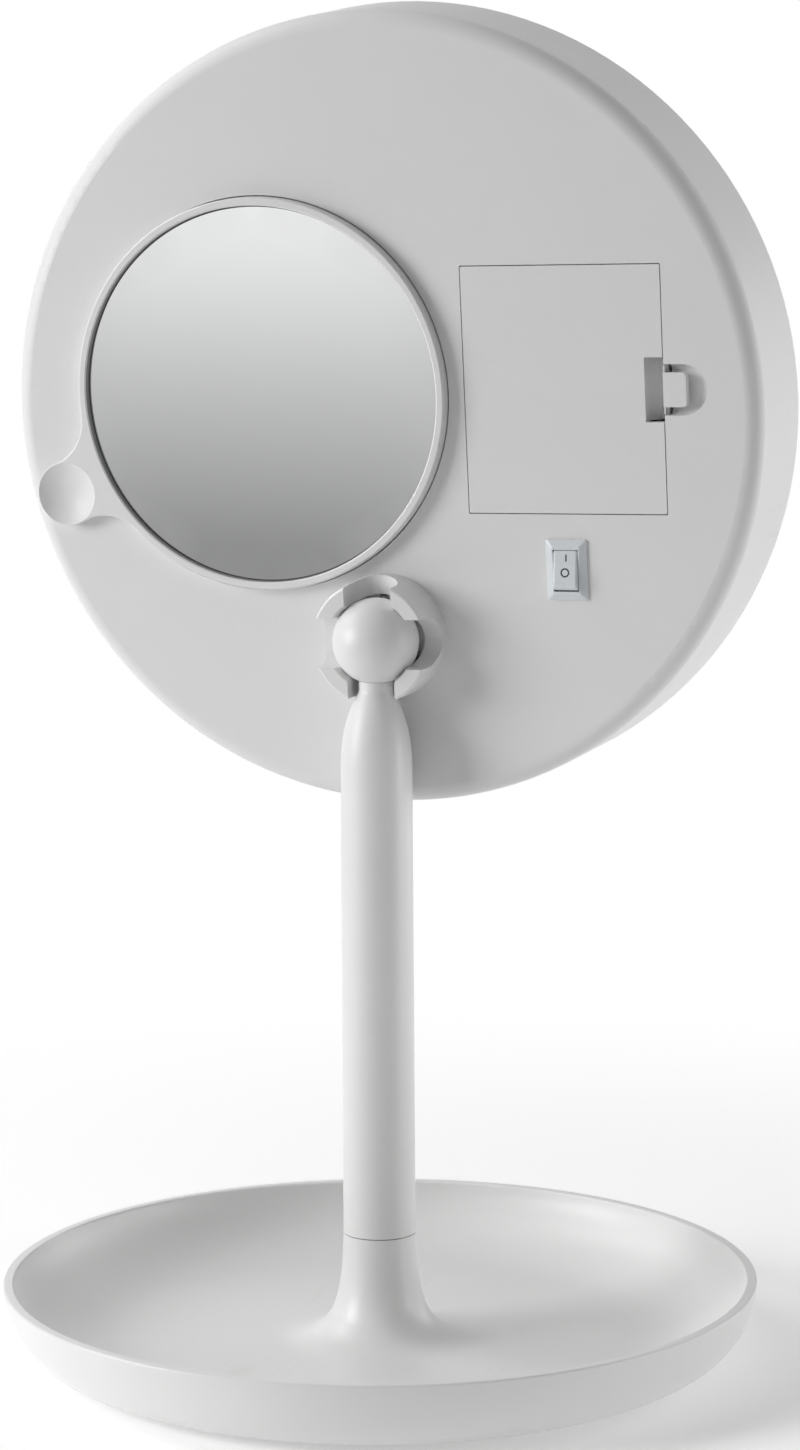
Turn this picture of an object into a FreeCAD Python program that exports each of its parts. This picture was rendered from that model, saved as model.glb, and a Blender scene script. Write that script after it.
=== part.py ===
import FreeCAD, Part
import math
import os

# Lighted tabletop vanity mirror on a tray stand.  Millimetres, +Z up.
# The origin is the middle of the tray's underside; the main mirror faces -Y and its back faces +Y.

Vector = FreeCAD.Vector
os.makedirs("parts", exist_ok=True)

# ---- stand ----
tray_radius = 95.0
tray_height = 20.1
rim_thickness = 2.9
rim_rounding = 0.55
wall_draft = 5.4
foot_radius = 73.4
lip_height = 0.3
floor_top = 4.2
floor_thickness = 1.8
cove_radius = 16.0
cove_reach = 26.5
skirt_pull = 13.2
flare_pull = 12.5
neck_top = 31.0
neck_radius = 9.1
flare_reach = 27.0
socket_radius = 6.5
socket_floor = 17.6
web_thickness = 4.0
stem_wall = 2.6
stem_bottom_radius = 9.13
stem_top_radius = 8.88
ball_height = 181.2
ogive_length = 31.0
shoulder_drop = 13.6
shoulder_radius = 4.85
neck_bend = 1.8
joint_line = 0.25
plug_clearance = 0.05
plug_rise = 20.0
insert_radius = 3.0
insert_length = 11.0
screw_radius = 1.9
screw_head_radius = 3.8
screw_head_height = 2.6
washer_radius = 5.2
washer_thickness = 1.0
weight_thickness = 1.5
foot_thickness = 0.9
foot_margin = 5.0
foot_relief = 0.3

# ---- ball stud ----
ball_radius = 10.75
stud_neck_radius = 4.28
shank_radius = 2.5
running_clearance = 0.06
bearing_drop = 26.2
clip_thickness = 0.8
clip_radius = 5.0
groove_depth = 0.5
thrust_gap = 0.08

# ---- head, drawn lying on its face: X right and Y up as seen from behind, Z out of the back ----
rest_tilt = 2.86
rest_roll = 1.31
ball_from_back = 8.1
rim_radius = 98.95
socket_margin = 43.45
side_flare = 0.95
head_depth = 30.2
back_rounding = 4.2
wall = 2.2
back_radius = rim_radius - side_flare
head_rise = rim_radius - socket_margin

# ---- ball socket ----
ball_gap = 0.15
collar_base = 15.7
collar_tip = 15.2
collar_height = 12.9
finger_rounding = 0.7
lead_in = 0.8
lead_in_depth = 2.2
cup_well = 7.0
slot_width = 12.4
slot_bottom = 2.6
spigot_radius = 13.5
spigot_depth = 4.8
plate_inset = 0.1
plate_thickness = 1.6
small_screw_radius = 1.3
small_head_radius = 2.5
small_head_height = 1.6
assembly_clearance = 0.15
plate_radius = collar_base - plate_inset

# ---- magnifier and its recess ----
magnifier_margin = 50.05
rim_gap = 19.85
socket_gap = 2.84
frame_height = 3.3
ring_width = 2.1
recess_depth = 2.8
recess_gap = 0.3
glass_rise = 1.3
magnifier_glass_thickness = 2.0
magnifier_curve = 900.0
handle_offset = 10.07
handle_angle = 204.87
lobe_radius = 8.2
handle_fillet = 12.0
dish_radius = 8.0
dish_depth = 2.6
dish_shift = 0.5
frame_edge = 0.45
magnet_radius = 4.0
magnet_thickness = 2.4
magnet_inset = 18.9
disc_thickness = 0.8
frame_radius = rim_radius - magnifier_margin
frame_inner = frame_radius - ring_width
handle_reach = frame_radius + handle_offset
magnet_circle = frame_radius - magnet_inset
magnifier_x = frame_radius + rim_gap - rim_radius
magnifier_y = math.sqrt((frame_radius + collar_base + socket_gap) ** 2 - magnifier_x ** 2)

# ---- battery compartment ----
door_side_margin = 6.5
door_end_margin = 9.8
door_thickness = 2.0
door_gap = 4.16
door_lift = 5.58
seam = 0.25
cell_radius = 7.2
cell_length = 50.5
cell_gap = 0.45
nub_radius = 2.75
nub_height = 1.0
contact_room = 2.5
box_wall = 1.3
box_flange = 1.2
flange_reach = 1.6
notch_width = 4.6
notch_height = 15.7
tongue_width = 8.4
tongue_length = 6.0
tongue_rise = 0.3
latch_width = 11.8
latch_lip = 0.35
lip_depth = 1.6
leaf_thickness = 0.75
leaf_drop = 3.4
well_width = 12.4
well_reach = 11.1
well_depth = 2.8
well_rounding = 1.9
hook_reach = 1.9
hook_width = 7.0
sheet_width = 9.0
sheet_height = 11.0
sheet_thickness = 0.4
bow_height = 12.0
strip_width = 7.0
cell_pitch = 2.0 * cell_radius + cell_gap
door_width = 2.0 * cell_pitch + 2.0 * cell_radius + door_side_margin
door_height = cell_length + door_end_margin
door_x = magnifier_x + frame_radius + recess_gap + door_gap + door_width / 2.0
door_y = head_rise + door_lift

# ---- switch ----
switch_shift = 0.56
switch_drop = 13.83
bezel_width = 10.4
bezel_height = 15.0
bezel_rise = 1.4
bezel_foot = 0.5
bezel_bevel = 1.7
body_width = 8.3
body_height = 13.3
body_drop = 10.0
rocker_width = 6.2
rocker_radius = 5.0
rocker_face = 2.0
rocker_pivot = 0.2
rocker_swing = 9.0
rocker_gap = 0.25
rocker_side_gap = 0.12
rocker_top_gap = 0.08
rocker_side_round = 0.55
rocker_low_round = 1.3
rocker_high_round = 0.3
pivot_pin = 0.8
switch_x = door_x - switch_shift
switch_y = door_y - door_height / 2.0 - switch_drop

# ---- front of the head ----
glass_thickness = 3.0
glass_setback = 1.2
platform_thickness = 2.0
channel_floor = 20.6
channel_skin = 1.6
diffuser_thickness = 2.0
diffuser_gap = 0.65
diffuser_width = 15.7
glass_gap = 0.4
board_thickness = 1.2
board_margin = 2.7
board_inset = 2.8
led_count = 24
led_size = 3.2
led_height = 0.8
post_inset = 8.0
post_radius = 4.0
post_start = 60.0
post_step = 60.0
post_count = 5
diffuser_outer = rim_radius - wall - diffuser_gap
glass_radius = diffuser_outer - diffuser_width - glass_gap
board_inner = glass_radius + glass_gap + board_inset
board_outer = diffuser_outer - board_margin
post_circle = glass_radius - post_inset


# ---- drawing helpers ----
# balls that cut a hollow stand on this axis, so that no pole lies in the face they leave
sideways = Vector(1, 0, 0)


def rounded_outline(corners, place):
    """Closed wire through (u, v, radius) corners, each radius a tangent arc."""
    count = len(corners)
    cuts = []
    for index in range(count):
        before = corners[index - 1]
        here = corners[index]
        after = corners[(index + 1) % count]
        corner = Vector(here[0], here[1], 0)
        to_before = Vector(before[0], before[1], 0) - corner
        to_after = Vector(after[0], after[1], 0) - corner
        to_before.normalize()
        to_after.normalize()
        radius = here[2] if len(here) > 2 else 0.0
        if radius == 0.0:
            cuts.append((corner, None, corner))
            continue
        half = to_before.getAngle(to_after) / 2.0
        reach = radius / math.tan(half)
        bisector = to_before + to_after
        bisector.normalize()
        middle = corner + bisector * (radius / math.sin(half) - radius)
        cuts.append((corner + to_before * reach, middle, corner + to_after * reach))
    edges = []
    for index in range(count):
        start, middle, end = cuts[index]
        following = cuts[(index + 1) % count][0]
        if middle is not None:
            edges.append(Part.Arc(place(start), place(middle), place(end)).toShape())
        if (following - end).Length > 1e-6:
            edges.append(Part.makeLine(place(end), place(following)))
    return Part.Wire(edges)


def upright(point):
    return Vector(point.x, 0, point.y)


def flat(point):
    return Vector(point.x, point.y, 0)


def turned(corners, x=0.0, y=0.0):
    """Solid of revolution about a Z line from (radius, height, rounding) corners."""
    face = Part.Face(rounded_outline(corners, upright))
    solid = face.revolve(Vector(0, 0, 0), Vector(0, 0, 1), 360)
    solid.translate(Vector(x, y, 0))
    return solid


def turned_edges(edges):
    face = Part.Face(Part.Wire(edges))
    return face.revolve(Vector(0, 0, 0), Vector(0, 0, 1), 360)


def plate(corners, low, high):
    """Prism of an XY outline between two heights."""
    prism = Part.Face(rounded_outline(corners, flat)).extrude(Vector(0, 0, high - low))
    prism.translate(Vector(0, 0, low))
    return prism


def block(x_low, x_high, y_low, y_high, z_low, z_high, rounding=0.0):
    corners = [(x_low, y_low, rounding), (x_high, y_low, rounding),
               (x_high, y_high, rounding), (x_low, y_high, rounding)]
    return plate(corners, z_low, z_high)


def rod(radius, x, y, low, high):
    return Part.makeCylinder(radius, high - low, Vector(x, y, low))


def tube(outer, inner, x, y, low, high):
    return rod(outer, x, y, low, high).cut(rod(inner, x, y, low - 1, high + 1))


def bezier(points):
    curve = Part.BezierCurve()
    curve.setPoles([Vector(r, 0, z) for r, z in points])
    return curve.toShape()


def line(start, end):
    return Part.makeLine(Vector(start[0], 0, start[1]), Vector(end[0], 0, end[1]))


def arc(start, middle, end):
    return Part.Arc(*[Vector(r, 0, z) for r, z in (start, middle, end)]).toShape()


def circle_points(count, radius, start=0.0, x=0.0, y=0.0, step=None):
    step = 360.0 / count if step is None else step
    angles = [math.radians(start + step * index) for index in range(count)]
    return [(x + radius * math.cos(angle), y + radius * math.sin(angle)) for angle in angles]


def joined(shapes):
    whole = shapes[0].fuse(shapes[1:])
    return whole.removeSplitter()


def without(shape, tools):
    return shape.cut(tools)


def pan_screw(radius, head_radius, head_height, x, y, seat, tip):
    """Screw along Z: the head sits at seat, the shank ends at tip on the other side."""
    side = 1.0 if tip > seat else -1.0
    corners = [(0, seat - side * head_height), (head_radius * 0.72, seat - side * head_height),
               (head_radius, seat - side * head_height * 0.45), (head_radius, seat), (radius, seat),
               (radius, tip - side * radius * 0.5), (radius * 0.45, tip), (0, tip)]
    return turned(corners, x, y)


# ---- placing the head on its ball at the rest tilt and roll ----
def head_placement():
    lying = FreeCAD.Rotation(Vector(-1, 0, 0), Vector(0, 0, 1), Vector(0, 1, 0), "XYZ")
    roll = FreeCAD.Rotation(Vector(0, 1, 0), rest_roll)
    tilt = FreeCAD.Rotation(Vector(1, 0, 0), -rest_tilt)
    turn = tilt.multiply(roll).multiply(lying)
    ball = Vector(0, 0, ball_height)
    return FreeCAD.Placement(ball - turn.multVec(Vector(0, 0, ball_from_back)), turn)


head_frame = head_placement()


def save(node, shape, on_head=False):
    if on_head:
        shape = shape.copy()
        shape.Placement = head_frame.multiply(shape.Placement)
    shape.exportStep("parts/" + node + ".step")


# ---- tray: one moulding with the flared neck in its middle ----
def make_tray():
    lean_in = math.sin(math.radians(wall_draft))
    lean_down = math.cos(math.radians(wall_draft))
    rim_inside = tray_radius - rim_thickness
    rounding_inset = rim_rounding * (1.0 - math.sqrt(0.5))
    outer_start = (tray_radius, tray_height - rim_rounding)
    inner_start = (rim_inside, tray_height - rim_rounding)
    land_outer = (tray_radius - rim_rounding, tray_height)
    land_inner = (rim_inside + rim_rounding, tray_height)
    floor_under = floor_top - floor_thickness
    cavity = foot_radius - 2.4
    outer_wall = bezier([outer_start, (outer_start[0] - 12.1 * lean_in, outer_start[1] - 12.1 * lean_down),
                         (foot_radius + skirt_pull, lip_height), (foot_radius, lip_height)])
    cove_start = (rim_inside - cove_reach, floor_top)
    inner_wall = bezier([inner_start, (inner_start[0] - 8.0 * lean_in, inner_start[1] - 8.0 * lean_down),
                         (cove_start[0] + cove_radius, floor_top), cove_start])
    flare = bezier([(neck_radius, neck_top), (neck_radius + 0.7, flare_pull),
                    (neck_radius + 2.1, floor_top), (flare_reach, floor_top)])
    web_low = socket_floor - web_thickness
    pocket_radius = washer_radius + 0.6
    edges = [arc(outer_start, (tray_radius - rounding_inset, tray_height - rounding_inset), land_outer),
             line(land_outer, land_inner),
             arc(land_inner, (rim_inside + rounding_inset, tray_height - rounding_inset), inner_start),
             inner_wall, line(cove_start, (flare_reach, floor_top)), flare,
             line((neck_radius, neck_top), (socket_radius, neck_top)),
             line((socket_radius, neck_top), (socket_radius, socket_floor)),
             line((socket_radius, socket_floor), (screw_radius + 0.3, socket_floor)),
             line((screw_radius + 0.3, socket_floor), (screw_radius + 0.3, web_low)),
             line((screw_radius + 0.3, web_low), (pocket_radius, web_low)),
             line((pocket_radius, web_low), (pocket_radius + 1.2, floor_under)),
             line((pocket_radius + 1.2, floor_under), (cavity, floor_under)),
             line((cavity, floor_under), (cavity, lip_height)),
             line((cavity, lip_height), (foot_radius, lip_height)), outer_wall]
    return turned_edges(edges)


save("tray", make_tray())

base_weight = turned([(pan, height) for pan, height in (
    (washer_radius + 3.0, foot_thickness), (foot_radius - 2.6, foot_thickness),
    (foot_radius - 2.6, foot_thickness + weight_thickness),
    (washer_radius + 3.0, foot_thickness + weight_thickness))])
save("base_weight", base_weight)

save("foot_pad", turned([(0, 0), (foot_radius - foot_margin, 0, foot_relief),
                         (foot_radius - foot_margin, foot_thickness), (0, foot_thickness)]))


# ---- stem: a drawn-in tube whose neck ends in the ball stud's bearing ----
ball_flat = ball_height - math.sqrt(ball_radius ** 2 - stud_neck_radius ** 2)
stem_top = ball_flat - thrust_gap


def make_stem():
    low = neck_top + joint_line
    ogive_low = ball_height - ogive_length
    shoulder = ball_height - shoulder_drop
    bend_top = shoulder + neck_bend
    top = stem_top
    bearing_low = ball_height - bearing_drop
    bore = stem_bottom_radius - stem_wall
    ogive = bezier([(stem_top_radius, ogive_low), (stem_top_radius, ogive_low + 6.8),
                    (shoulder_radius + 2.6, shoulder - 4.9), (shoulder_radius, shoulder)])
    bend = bezier([(shoulder_radius, shoulder), (shoulder_radius - 0.47, shoulder + 0.886),
                   (stud_neck_radius, bend_top - 0.8), (stud_neck_radius, bend_top)])
    bearing = shank_radius + running_clearance
    edges = [line((stem_bottom_radius, low), (stem_top_radius, ogive_low)), ogive, bend,
             line((stud_neck_radius, bend_top), (stud_neck_radius, top)),
             line((stud_neck_radius, top), (bearing, top)),
             line((bearing, top), (bearing, bearing_low)),
             line((bearing, bearing_low), (bore, bearing_low)),
             line((bore, bearing_low), (bore, low)),
             line((bore, low), (stem_bottom_radius, low))]
    return turned_edges(edges)


save("stem", make_stem())

plug_low = socket_floor + 0.1
plug_bore = stem_bottom_radius - stem_wall - plug_clearance
stem_plug = turned([(insert_radius + 0.05, plug_low), (socket_radius - 0.1, plug_low, 0.6),
                    (socket_radius - 0.1, neck_top + joint_line), (plug_bore, neck_top + joint_line),
                    (plug_bore, neck_top + plug_rise, 0.8), (0, neck_top + plug_rise),
                    (0, plug_low + insert_length + 4.0),
                    (insert_radius + 0.05, plug_low + insert_length + 1.5)])
save("stem_plug", stem_plug)

stem_insert = turned([(screw_radius + 0.05, plug_low + 0.2), (insert_radius, plug_low + 0.2, 0.3),
                      (insert_radius, plug_low + insert_length, 0.3),
                      (screw_radius + 0.05, plug_low + insert_length)])
save("stem_insert", stem_insert)

web_under = socket_floor - web_thickness
save("stem_washer", turned([(screw_radius + 0.2, web_under - washer_thickness),
                            (washer_radius, web_under - washer_thickness, 0.25),
                            (washer_radius, web_under), (screw_radius + 0.2, web_under)]))
save("stem_screw", pan_screw(screw_radius, screw_head_radius, screw_head_height, 0, 0,
                             web_under - washer_thickness, plug_low + insert_length + 1.0))


# ---- ball stud: ball and shank turned in one piece ----
def make_ball_stud():
    tip = ball_height - bearing_drop - clip_thickness - 2.6
    clip_top = ball_height - bearing_drop - thrust_gap
    clip_low = clip_top - clip_thickness
    groove = shank_radius - groove_depth
    edges = [arc((0, ball_height + ball_radius), (ball_radius, ball_height), (stud_neck_radius, ball_flat)),
             line((stud_neck_radius, ball_flat), (shank_radius, ball_flat)),
             line((shank_radius, ball_flat), (shank_radius, clip_top)),
             line((shank_radius, clip_top), (groove, clip_top)),
             line((groove, clip_top), (groove, clip_low)),
             line((groove, clip_low), (shank_radius, clip_low)),
             line((shank_radius, clip_low), (shank_radius, tip + 0.5)),
             line((shank_radius, tip + 0.5), (shank_radius - 0.5, tip)),
             line((shank_radius - 0.5, tip), (0, tip)),
             line((0, tip), (0, ball_height + ball_radius))]
    return turned_edges(edges)


save("ball_stud", make_ball_stud())

clip_high = ball_height - bearing_drop - thrust_gap
clip_ring = tube(clip_radius, shank_radius - groove_depth, 0, 0, clip_high - clip_thickness, clip_high)
clip_mouth = block(-1.6, 1.6, 0, clip_radius + 1, clip_high - clip_thickness - 1, clip_high + 1)
save("stud_clip", clip_ring.cut(clip_mouth))


# ---- rear cover: shell, recess, compartment mouth, finger well, bosses ----
door_left = door_x - door_width / 2.0
door_right = door_x + door_width / 2.0
door_low = door_y - door_height / 2.0
door_high = door_y + door_height / 2.0
leaf_left = door_right + 0.1
well_left = leaf_left + leaf_thickness + 0.65
well_right = door_right + well_reach
well_half = well_width / 2.0
recess_radius = frame_radius + recess_gap
recess_under = recess_depth + wall
post_foot = channel_floor
magnets = circle_points(4, magnet_circle, 45.0, magnifier_x, magnifier_y)
posts = circle_points(post_count, post_circle, post_start, 0, head_rise, post_step)


def well_outline(margin):
    """D-shaped outline: straight sides from the compartment's edge, round at the far end."""
    half = well_half + margin
    left = well_left - margin
    right = well_right + margin
    return [(left, door_y - half), (right, door_y - half, half - 0.01),
            (right, door_y + half, half - 0.01), (left, door_y + half)]


def make_rear_cover():
    slope = (rim_radius - back_radius) / head_depth
    inner_top = back_radius - wall + slope * wall
    shell = turned([(0, 0), (back_radius, 0, back_rounding), (rim_radius, -head_depth, 0.7),
                    (rim_radius - wall + 0.2, -head_depth, 0.6), (inner_top, -wall, 2.0), (0, -wall)],
                   0, head_rise)
    bulge = rod(recess_radius + wall, magnifier_x, magnifier_y, -recess_under, -wall / 2.0)
    well_boss = plate(well_outline(1.6), -well_depth - 1.6, -wall / 2.0)
    solids = [shell, bulge, well_boss]
    for x, y in posts:
        solids.append(rod(post_radius, x, y, -post_foot, -wall / 2.0))
    for x, y in magnets:
        solids.append(tube(magnet_radius + 1.3, magnet_radius + 0.05, x, y,
                           -recess_under - magnet_thickness, -recess_under + 0.2))
    body = joined(solids)
    well = plate(well_outline(0.0), -well_depth, 1.0)
    floor_edges = [edge for edge in well.Edges
                   if abs(edge.BoundBox.ZMax + well_depth) < 1e-6 and edge.BoundBox.XMax > well_left + 0.1]
    well = well.makeFillet(well_rounding, floor_edges)
    cutters = [rod(recess_radius, magnifier_x, magnifier_y, -recess_depth, 1.0), well,
               block(door_left - seam, door_right + seam, door_low - seam, door_high + seam, -9.0, 1.0, 0.4),
               block(door_right - 1.0, well_left, door_y - well_half, door_y + well_half, -9.0, 1.0),
               block(switch_x - body_width / 2.0 - 0.1, switch_x + body_width / 2.0 + 0.1,
                     switch_y - body_height / 2.0 - 0.1, switch_y + body_height / 2.0 + 0.1, -9.0, 1.0),
               rod(spigot_radius + assembly_clearance, 0, 0, -9.0, 1.0)]
    for x, y in posts:
        cutters.append(rod(small_screw_radius, x, y, -post_foot - 1.0, -post_foot + 11.0))
    return without(body, cutters)


save("rear_cover", make_rear_cover(), True)


# ---- ball socket: castellated collar whose four fingers wrap past the ball's middle ----
def make_socket_collar():
    cup_radius = ball_radius + ball_gap
    body = turned([(0, -spigot_depth), (spigot_radius, -spigot_depth, 0.4), (spigot_radius, 0),
                   (collar_base, 0), (collar_tip, collar_height, finger_rounding), (0, collar_height)])
    cup = Part.makeSphere(cup_radius, Vector(0, 0, ball_from_back), sideways)
    well = rod(cup_radius, 0, 0, ball_from_back - cup_well, ball_from_back)
    lead_low = collar_height - lead_in_depth
    throat = math.sqrt(cup_radius ** 2 - (lead_low - ball_from_back) ** 2)
    chamfer = turned([(0, lead_low), (throat, lead_low), (throat + lead_in, collar_height),
                      (throat + lead_in, collar_height + 1.0), (0, collar_height + 1.0)])
    half = slot_width / 2.0
    across = collar_base + 2.0
    channel_corners = [(-half, slot_bottom, half - 0.01), (half, slot_bottom, half - 0.01),
                       (half, collar_height + 2.0), (-half, collar_height + 2.0)]
    outline = rounded_outline(channel_corners, upright)
    channel = Part.Face(outline).extrude(Vector(0, 2.0 * across, 0))
    channel.translate(Vector(0, -across, 0))
    crossing = channel.copy()
    crossing.rotate(Vector(0, 0, 0), Vector(0, 0, 1), 90)
    holes = [rod(small_screw_radius - 0.1, x, y, -spigot_depth - 1.0, 1.6)
             for x, y in circle_points(3, 9.6, 90.0)]
    return without(body, [cup, well, chamfer, channel, crossing] + holes)


save("socket_collar", make_socket_collar(), True)

plate_under = spigot_depth + plate_thickness
socket_plate = turned([(0, -plate_under), (plate_radius, -plate_under, 0.5), (plate_radius, -wall),
                       (plate_radius - 1.7, -wall), (plate_radius - 1.7, -spigot_depth), (0, -spigot_depth)])
socket_holes = [rod(small_screw_radius + 0.2, x, y, -plate_under - 1.0, 0)
                for x, y in circle_points(3, 9.6, 90.0)]
save("socket_plate", without(socket_plate, socket_holes), True)
save("socket_screws", Part.makeCompound([
    pan_screw(small_screw_radius - 0.15, small_head_radius, small_head_height, x, y, -plate_under, 1.0)
    for x, y in circle_points(3, 9.6, 90.0)]), True)


# ---- magnifier: ring frame with a teardrop finger handle ----
handle_turn = math.radians(handle_angle)
lobe_x = handle_reach * math.cos(handle_turn)
lobe_y = handle_reach * math.sin(handle_turn)


def make_frame_outline():
    """Ring circle and lobe circle joined by two hollow fillets, round the magnifier's own centre."""
    from_ring = frame_radius + handle_fillet
    from_lobe = lobe_radius + handle_fillet
    along = (handle_reach ** 2 + from_ring ** 2 - from_lobe ** 2) / (2.0 * handle_reach)
    aside = math.sqrt(from_ring ** 2 - along ** 2)
    ahead = Vector(math.cos(handle_turn), math.sin(handle_turn), 0)
    side = Vector(-ahead.y, ahead.x, 0)
    lobe = ahead * handle_reach
    upper = ahead * along - side * aside
    lower = ahead * along + side * aside
    touches = []
    for fillet in (upper, lower):
        on_ring = fillet * (frame_radius / from_ring)
        on_lobe = lobe + (fillet - lobe) * (lobe_radius / from_lobe)
        nearest = fillet + (((on_ring + on_lobe) * 0.5) - fillet).normalize() * handle_fillet
        touches.append((on_ring, nearest, on_lobe))
    ring_up, bend_up, lobe_up = touches[0]
    ring_low, bend_low, lobe_low = touches[1]
    edges = [Part.Arc(ring_low, ahead * -frame_radius, ring_up).toShape(),
             Part.Arc(ring_up, bend_up, lobe_up).toShape(),
             Part.Arc(lobe_up, lobe + ahead * lobe_radius, lobe_low).toShape(),
             Part.Arc(lobe_low, bend_low, ring_low).toShape()]
    return Part.Wire(edges)


def make_magnifier_frame():
    clear = 0.2
    upper = Part.Face(make_frame_outline()).extrude(Vector(0, 0, frame_height - clear))
    upper.translate(Vector(0, 0, clear))
    top_edges = [edge for edge in upper.Edges if abs(edge.BoundBox.ZMin - frame_height) < 1e-6]
    upper = upper.makeFillet(frame_edge, top_edges)
    seated = rod(frame_radius, 0, 0, -recess_depth + clear, clear)
    body = joined([upper, seated])
    glass_seat = glass_rise - magnifier_glass_thickness
    dish_sphere = (dish_radius ** 2 + dish_depth ** 2) / (2.0 * dish_depth)
    dish_x = lobe_x + dish_shift * math.cos(handle_turn)
    dish_y = lobe_y + dish_shift * math.sin(handle_turn)
    dish = Part.makeSphere(dish_sphere, Vector(dish_x, dish_y, frame_height + dish_sphere - dish_depth),
                           sideways)
    mouth = rod(frame_inner, 0, 0, glass_seat, frame_height + 1.0)
    edge_break = turned([(0, frame_height - 0.4), (frame_inner, frame_height - 0.4),
                         (frame_inner + 0.5, frame_height + 0.1), (0, frame_height + 0.1)])
    pockets = [rod(magnet_radius + 0.1, x, y, -recess_depth - 1.0, -recess_depth + clear + disc_thickness)
               for x, y in circle_points(4, magnet_circle, 45.0)]
    body = without(body, [dish, mouth, edge_break] + pockets)
    body.translate(Vector(magnifier_x, magnifier_y, 0))
    return body


save("magnifier_frame", make_magnifier_frame(), True)

magnifier_blank = rod(frame_inner - 0.1, magnifier_x, magnifier_y,
                      glass_rise - magnifier_glass_thickness + 0.02, 5.0)
hollow_depth = magnifier_curve - math.sqrt(magnifier_curve ** 2 - (frame_inner - 0.1) ** 2)
hollow_ball = Part.makeSphere(magnifier_curve, Vector(magnifier_x, magnifier_y,
                                                      glass_rise - hollow_depth + magnifier_curve), sideways)
save("magnifier_mirror", magnifier_blank.cut(hollow_ball), True)
save("magnifier_discs", Part.makeCompound([
    rod(magnet_radius, x, y, -recess_depth + 0.2, -recess_depth + 0.15 + disc_thickness)
    for x, y in magnets]), True)
save("cover_magnets", Part.makeCompound([
    rod(magnet_radius, x, y, -recess_under - magnet_thickness, -recess_under - 0.02)
    for x, y in magnets]), True)


# ---- battery box with three upright cells ----
cells_width = cell_pitch * 2.0 + cell_radius * 2.0
box_left = door_left + 2.1
box_right = box_left + cells_width + 0.3
box_half = cell_length / 2.0 + contact_room
box_floor = door_thickness + 0.7 + cell_radius * 2.0 + 0.2
cell_axis = door_thickness + 0.7 + cell_radius
cell_lines = [box_left + 0.15 + cell_radius + cell_pitch * index for index in range(3)]
hook_rows = [door_y - door_height * 0.28, door_y + door_height * 0.28]


def make_battery_box():
    low = door_y - box_half
    high = door_y + box_half
    outer = block(box_left - box_wall, box_right + box_wall, low - box_wall, high + box_wall,
                  -box_floor - box_wall, -wall, 1.5)
    flange = block(door_left - flange_reach, door_right + 2.4, door_low - 3.0, door_high + 3.0,
                   -wall - box_flange, -wall, 3.0)
    body = joined([outer, flange])
    cutters = [block(box_left, box_right, low, high, -box_floor, 1.0, 0.8)]
    for row in hook_rows:
        half = hook_width / 2.0 + 0.6
        cutters.append(block(door_left - hook_reach - 1.2, box_left + 0.5, row - half, row + half, -4.6, 1.0))
    spring_half = notch_height / 2.0 + 0.6
    cutters.append(block(box_right - 1.0, door_right + 5.0, door_y - spring_half, door_y + spring_half,
                         -7.8, 1.0))
    for x in cell_lines:
        rib = rod(cell_radius + 0.1, 0, 0, -box_half, box_half)
        rib.rotate(Vector(0, 0, 0), Vector(1, 0, 0), 90)
        rib.translate(Vector(x, door_y, -cell_axis))
        cutters.append(rib.common(block(x - 8, x + 8, low, high, -box_floor - 0.01, -cell_axis)))
    return without(body, cutters)


save("battery_box", make_battery_box(), True)

for index, x in enumerate(cell_lines):
    way = 1.0 if index % 2 == 0 else -1.0
    half = cell_length / 2.0
    cell = turned([(0, -half, 0), (cell_radius, -half, 0.5), (cell_radius, half - nub_height, 0.7),
                   (nub_radius, half - nub_height), (nub_radius, half, 0.3), (0, half)])
    cell.rotate(Vector(0, 0, 0), Vector(1, 0, 0), -90 * way)
    cell.translate(Vector(x, door_y, -cell_axis))
    save("cell_" + str(index + 1), cell, True)

contact_flats = []
contact_leaves = []
for index, x in enumerate(cell_lines):
    way = 1.0 if index % 2 == 0 else -1.0
    wall_y = door_y + way * box_half
    flat_low = min(wall_y, wall_y - way * sheet_thickness)
    sheet = block(x - sheet_width / 2.0, x + sheet_width / 2.0, flat_low, flat_low + sheet_thickness,
                  -cell_axis - sheet_height / 2.0, -cell_axis + sheet_height / 2.0)
    dome_base = wall_y - way * sheet_thickness
    dome_tip = door_y + way * (cell_length / 2.0 + 0.02)
    dome = Part.makeCone(3.2, 1.9, abs(dome_base - dome_tip), Vector(x, dome_base, -cell_axis),
                         Vector(0, -way, 0))
    contact_flats.append(joined([sheet, dome]))
    far_y = door_y - way * box_half
    tip_y = door_y - way * (cell_length / 2.0 + 0.02)
    mid_y = (far_y + tip_y) / 2.0
    bow_half = bow_height / 2.0
    bow = [(-bow_half, far_y), (0.0, tip_y), (bow_half, far_y)]
    outer = Part.Arc(*[Vector(x, y, -cell_axis + z) for z, y in bow]).toShape()
    inset = way * sheet_thickness
    inner_half = bow_half - 0.9
    inner = Part.Arc(Vector(x, far_y, -cell_axis + inner_half), Vector(x, tip_y - inset, -cell_axis),
                     Vector(x, far_y, -cell_axis - inner_half)).toShape()
    ends = [Part.makeLine(outer.valueAt(outer.LastParameter), inner.valueAt(inner.FirstParameter)),
            Part.makeLine(inner.valueAt(inner.LastParameter), outer.valueAt(outer.FirstParameter))]
    strip = Part.Face(Part.Wire([outer, ends[0], inner, ends[1]])).extrude(Vector(strip_width, 0, 0))
    strip.translate(Vector(-strip_width / 2.0, 0, 0))
    contact_leaves.append(strip)
save("contact_flats", Part.makeCompound(contact_flats), True)
save("contact_leaves", Part.makeCompound(contact_leaves), True)


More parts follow.
